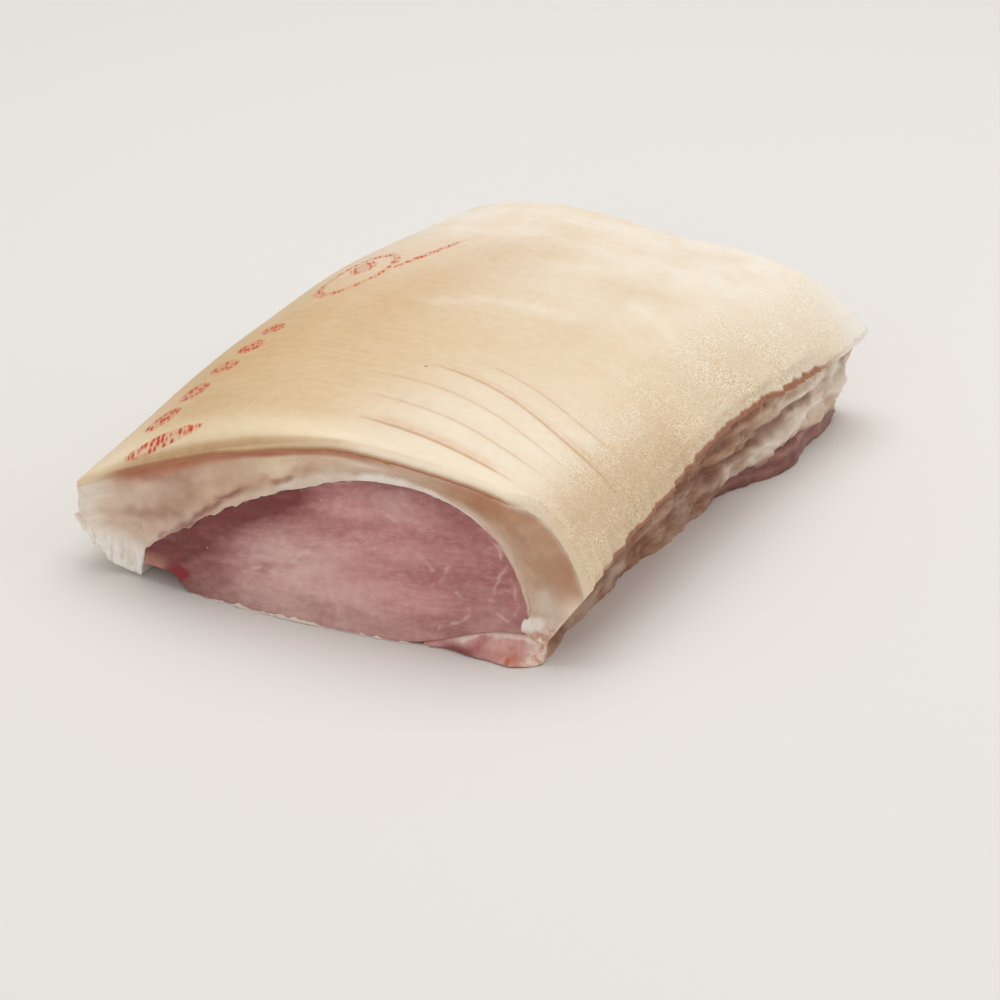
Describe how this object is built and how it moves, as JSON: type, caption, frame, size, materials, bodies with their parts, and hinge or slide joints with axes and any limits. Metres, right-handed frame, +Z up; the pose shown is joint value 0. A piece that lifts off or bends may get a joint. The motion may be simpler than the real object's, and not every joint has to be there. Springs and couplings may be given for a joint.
{
  "type": "boneless pork loin",
  "caption": "Boneless pork loin joint lying on its boned side: a teardrop lean eye and a thin side muscle under a cap of fat and rind, cut across at the ends.",
  "frame": {"origin": "on the resting plane, under the centre of the joint's box", "axes": "+Y from the shown cut end to the far cut end, +X from the back edge to the belly edge, +Z up through the rind"},
  "size_m": [0.1752, 0.24, 0.061],
  "materials": {
    "lean": "moist raw lean pork, fine grain",
    "side_lean": "moist raw lean pork, darker",
    "fat_and_rind": "cream to tan scalded rind over white fat, satin"
  },
  "bodies": {
    "root": {"loin_eye": "lean", "side_strip": "side_lean", "fat_cap": "fat_and_rind"}
  },
  "joints": []
}
